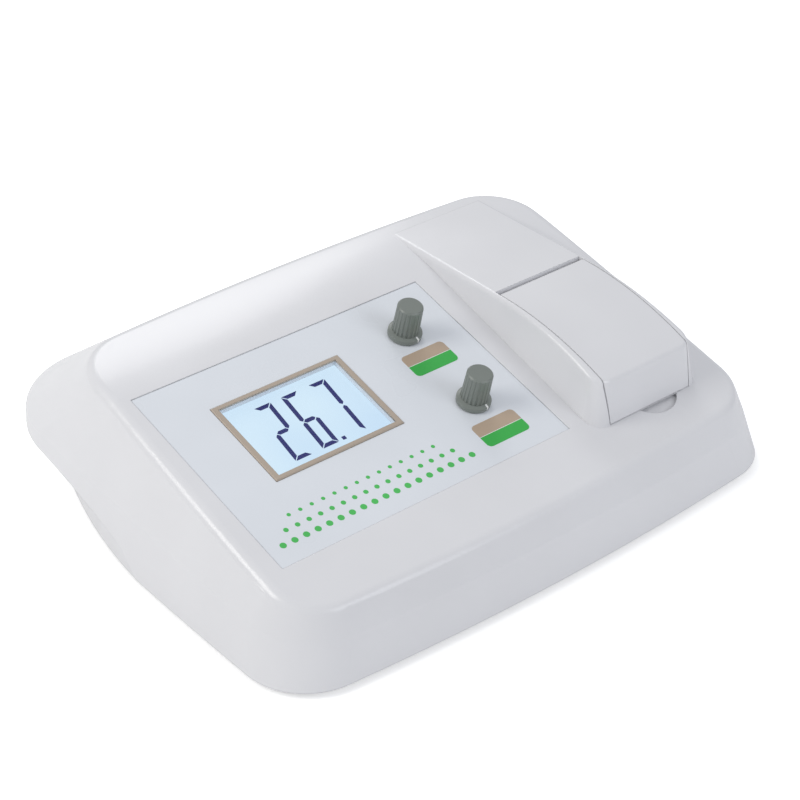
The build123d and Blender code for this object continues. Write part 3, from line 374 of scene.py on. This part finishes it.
# %% Seven-segment figures
FIGURE_WIDTH, FIGURE_HEIGHT = 8.6, 33.0
BAR = 2.1
BAR_GAP = 0.3
FIGURE_LEAN = 0.07
W, H, T, G = FIGURE_WIDTH, FIGURE_HEIGHT, BAR, BAR_GAP
bars = {
    "top": [(G, H), (G + T, H - T), (W - G - T, H - T), (W - G, H)],
    "upper_right": [(W, H - G), (W - T, H - G - T), (W - T, H / 2 + G + T / 2), (W - T / 2, H / 2 + G),
                    (W, H / 2 + G + T / 2)],
    "lower_right": [(W, G), (W, H / 2 - G - T / 2), (W - T / 2, H / 2 - G), (W - T, H / 2 - G - T / 2),
                    (W - T, G + T)],
    "bottom": [(G, 0), (W - G, 0), (W - G - T, T), (G + T, T)],
    "lower_left": [(0, G), (T, G + T), (T, H / 2 - G - T / 2), (T / 2, H / 2 - G), (0, H / 2 - G - T / 2)],
    "upper_left": [(0, H - G), (0, H / 2 + G + T / 2), (T / 2, H / 2 + G), (T, H / 2 + G + T / 2),
                   (T, H - G - T)],
    "middle": [(T / 2 + G, H / 2), (T + G, H / 2 - T / 2), (W - T - G, H / 2 - T / 2), (W - T / 2 - G, H / 2),
               (W - T - G, H / 2 + T / 2), (T + G, H / 2 + T / 2)],
}
figures = {
    "2": ["top", "upper_right", "middle", "lower_left", "bottom"],
    "6": ["top", "upper_left", "middle", "lower_left", "lower_right", "bottom"],
    "7": ["top", "upper_right", "lower_right"],
}
FIGURE_FOOT_V = -34.8
shapes = []
for figure, foot_u in [("2", -74.1), ("6", -60.0), ("7", -45.4)]:
    for bar in figures[figure]:
        shapes.append([(foot_u + x + FIGURE_LEAN * y, FIGURE_FOOT_V + y) for x, y in bars[bar]])
POINT_U, POINT_V, POINT_SIZE = -49.3, -35.0, 1.9
point_right, point_top = POINT_U + POINT_SIZE, POINT_V + POINT_SIZE
shapes.append([(POINT_U, POINT_V), (point_right, POINT_V), (point_right, point_top), (POINT_U, point_top)])
printed("display_figures", shapes, CELL_LEVEL_MM, INK, figure_ink)

# %% [markdown]
# ## White marks on the knob skirts
# Each knob has a short white line painted across its skirt, pointing to the front and a little right. It is
# a strip that follows the skirt's slope and turns with the knob, so it rides on the knob's own body.

# %% Knob marks
KNOB_U = 11.3
MARK_ANGLE = math.radians(-79)
MARK_HALF_WIDTH = 0.45
MARK_DEPTH = 0.3
# Radius from the knob's axis and height over the panel, from the body down to the skirt's rim
skirt_profile = [(6.3, 2.87), (7.66, 2.28), (7.76, 2.18), (7.76, 0.9)]


def knob_mark(name, knob_v, body):
    """A painted strip down the skirt's slope and over its rim."""
    along = Vector((math.cos(MARK_ANGLE), math.sin(MARK_ANGLE)))
    side = Vector((-along.y, along.x)) * MARK_HALF_WIDTH
    centre = Vector((KNOB_U, knob_v))
    mesh = bpy.data.meshes.new(name)
    work = bmesh.new()
    rows = []
    for radius, height in skirt_profile:
        middle = centre + along * radius
        under = centre + along * (radius - MARK_DEPTH)
        ends = [middle - side, middle + side]
        backs = [under - side, under + side]
        rows.append([work.verts.new(on_panel(p.x, p.y, height)) for p in ends]
                    + [work.verts.new(on_panel(p.x, p.y, height - MARK_DEPTH)) for p in backs])
    for upper, lower in zip(rows, rows[1:]):
        work.faces.new((upper[0], upper[1], lower[1], lower[0]))
        work.faces.new((upper[3], upper[2], lower[2], lower[3]))
        work.faces.new((upper[2], upper[0], lower[0], lower[2]))
        work.faces.new((upper[1], upper[3], lower[3], lower[1]))
    work.faces.new((rows[0][2], rows[0][3], rows[0][1], rows[0][0]))
    work.faces.new((rows[-1][0], rows[-1][1], rows[-1][3], rows[-1][2]))
    bmesh.ops.recalc_face_normals(work, faces=work.faces)
    work.to_mesh(mesh)
    work.free()
    mark = bpy.data.objects.new(name, mesh)
    bpy.context.scene.collection.objects.link(mark)
    mesh.materials.append(white_paint)
    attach(mark, body)
    print(name, "faces:", len(mesh.polygons))


knob_mark("zero_knob_mark", 0.4, "zero")
knob_mark("correction_knob_mark", -47.1, "correction")

# %% [markdown]
# ## Floor, light and camera
# The meter stands on a white sweep. The floor shows pure white to the camera away from the object and still
# takes its shadow: the shader adds an emission, for camera rays only, to a plain white diffuse, so that no
# extra light falls on the meter.

# %% Floor
floor_size = 6.0
bpy.ops.mesh.primitive_plane_add(size=floor_size)
floor = bpy.context.object
floor.name = "floor"
paper, tree = empty_material("Paper sweep, white")
matt = add_node(tree, "ShaderNodeBsdfDiffuse", {"Color": linear("fafafa")})
floor_glow = add_node(tree, "ShaderNodeEmission", {"Color": linear("ffffff"), "Strength": 0.42})
ray = add_node(tree, "ShaderNodeLightPath")
lift = add_node(tree, "ShaderNodeMixShader", None,
                {0: ray.outputs["Is Camera Ray"], 2: floor_glow.outputs["Emission"]})
total = add_node(tree, "ShaderNodeAddShader", None, {0: matt.outputs["BSDF"], 1: lift.outputs["Shader"]})
add_node(tree, "ShaderNodeOutputMaterial", None, {"Surface": total.outputs["Shader"]})
floor.data.materials.append(paper)
print("floor:", floor_size, "m")

# %% [markdown]
# A large soft lamp stands for the window on the left, a weaker one fills from the right, and the world adds
# an even grey. Together they light a white surface just below white, so that its shape still shows.

# %% World and lamps
world = bpy.data.worlds.new("studio")
bpy.context.scene.world = world
world.use_nodes = True
world.node_tree.nodes.clear()
sky = add_node(world.node_tree, "ShaderNodeBackground", {"Color": linear("f4f6fa"), "Strength": 0.58})
white = add_node(world.node_tree, "ShaderNodeBackground", {"Color": linear("ffffff"), "Strength": 1.0})
eye = add_node(world.node_tree, "ShaderNodeLightPath")
either = add_node(world.node_tree, "ShaderNodeMixShader", None,
                  {0: eye.outputs["Is Camera Ray"], 1: sky.outputs["Background"], 2: white.outputs["Background"]})
add_node(world.node_tree, "ShaderNodeOutputWorld", None, {"Surface": either.outputs["Shader"]})


def soft_lamp(name, spot, target, size, watts, colour):
    """A square soft box aimed at a point."""
    light = bpy.data.lights.new(name, "AREA")
    light.size = size
    light.energy = watts
    light.color = linear(colour)[:3]
    lamp = bpy.data.objects.new(name, light)
    lamp.location = spot
    lamp.rotation_euler = (Vector(target) - Vector(spot)).to_track_quat("-Z", "Y").to_euler()
    bpy.context.scene.collection.objects.link(lamp)
    print(name, watts, "W")


centre = (0, 0, 0.05)
soft_lamp("window_lamp", (-1.1, 0.3, 1.0), centre, 0.7, 8.0, "fffdf8")
soft_lamp("fill_lamp", (0.4, -1.3, 0.8), centre, 0.7, 4.0, "f6f9ff")
soft_lamp("back_lamp", (0.6, 1.1, 1.1), centre, 0.6, 4.0, "ffffff")

# %% [markdown]
# The camera looks down at the front left corner, where the photographer stood: a long lens from 1 m away.

# %% Camera
eye_data = bpy.data.cameras.new("photo_camera")
eye_data.lens = 97.05
eye_data.sensor_width = 36.0
photo_camera = bpy.data.objects.new("photo_camera", eye_data)
photo_camera.location = (-0.5047, -0.6203, 0.5557)
photo_camera.rotation_euler = (math.radians(56.8), 0.0, math.radians(-39.6))
bpy.context.scene.collection.objects.link(photo_camera)
bpy.context.scene.camera = photo_camera
bpy.context.scene.view_settings.view_transform = "Standard"
print("camera:", tuple(round(c, 3) for c in photo_camera.location))
